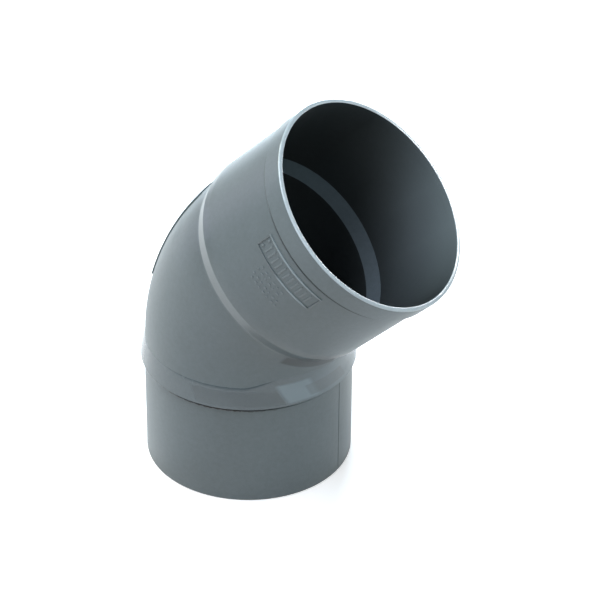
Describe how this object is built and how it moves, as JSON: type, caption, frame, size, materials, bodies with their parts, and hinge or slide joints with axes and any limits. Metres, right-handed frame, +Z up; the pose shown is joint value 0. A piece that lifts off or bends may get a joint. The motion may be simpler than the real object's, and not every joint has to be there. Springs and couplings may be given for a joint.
{
  "type": "pvc pipe elbow",
  "caption": "Grey rigid PVC pipe elbow, 45 degrees, with a plain spigot end and a solvent-weld socket end.",
  "frame": {"origin": "centre of the fitting's box in plan, on the plane of the spigot end", "axes": "+Z up along the spigot axis; the socket axis leans 45 degrees from +Z towards +X; Y is across the bend"},
  "size_m": [0.1694, 0.1166, 0.2102],
  "materials": {
    "pvc_wall": "satin moulded grey PVC",
    "pvc_polished": "glossier grey PVC, from a polished part of the mould",
    "pvc_inside": "matt grey PVC inside the socket"
  },
  "bodies": {
    "root": {"spigot_barrel": "pvc_wall", "spigot_collar": "pvc_polished", "bend_shell": "pvc_wall", "heel_pad": "pvc_wall", "socket_shoulder": "pvc_polished", "pipe_stop_ring": "pvc_inside", "socket_barrel": "pvc_wall", "mouth_band": "pvc_wall", "marking_frame": "pvc_wall"}
  },
  "joints": []
}
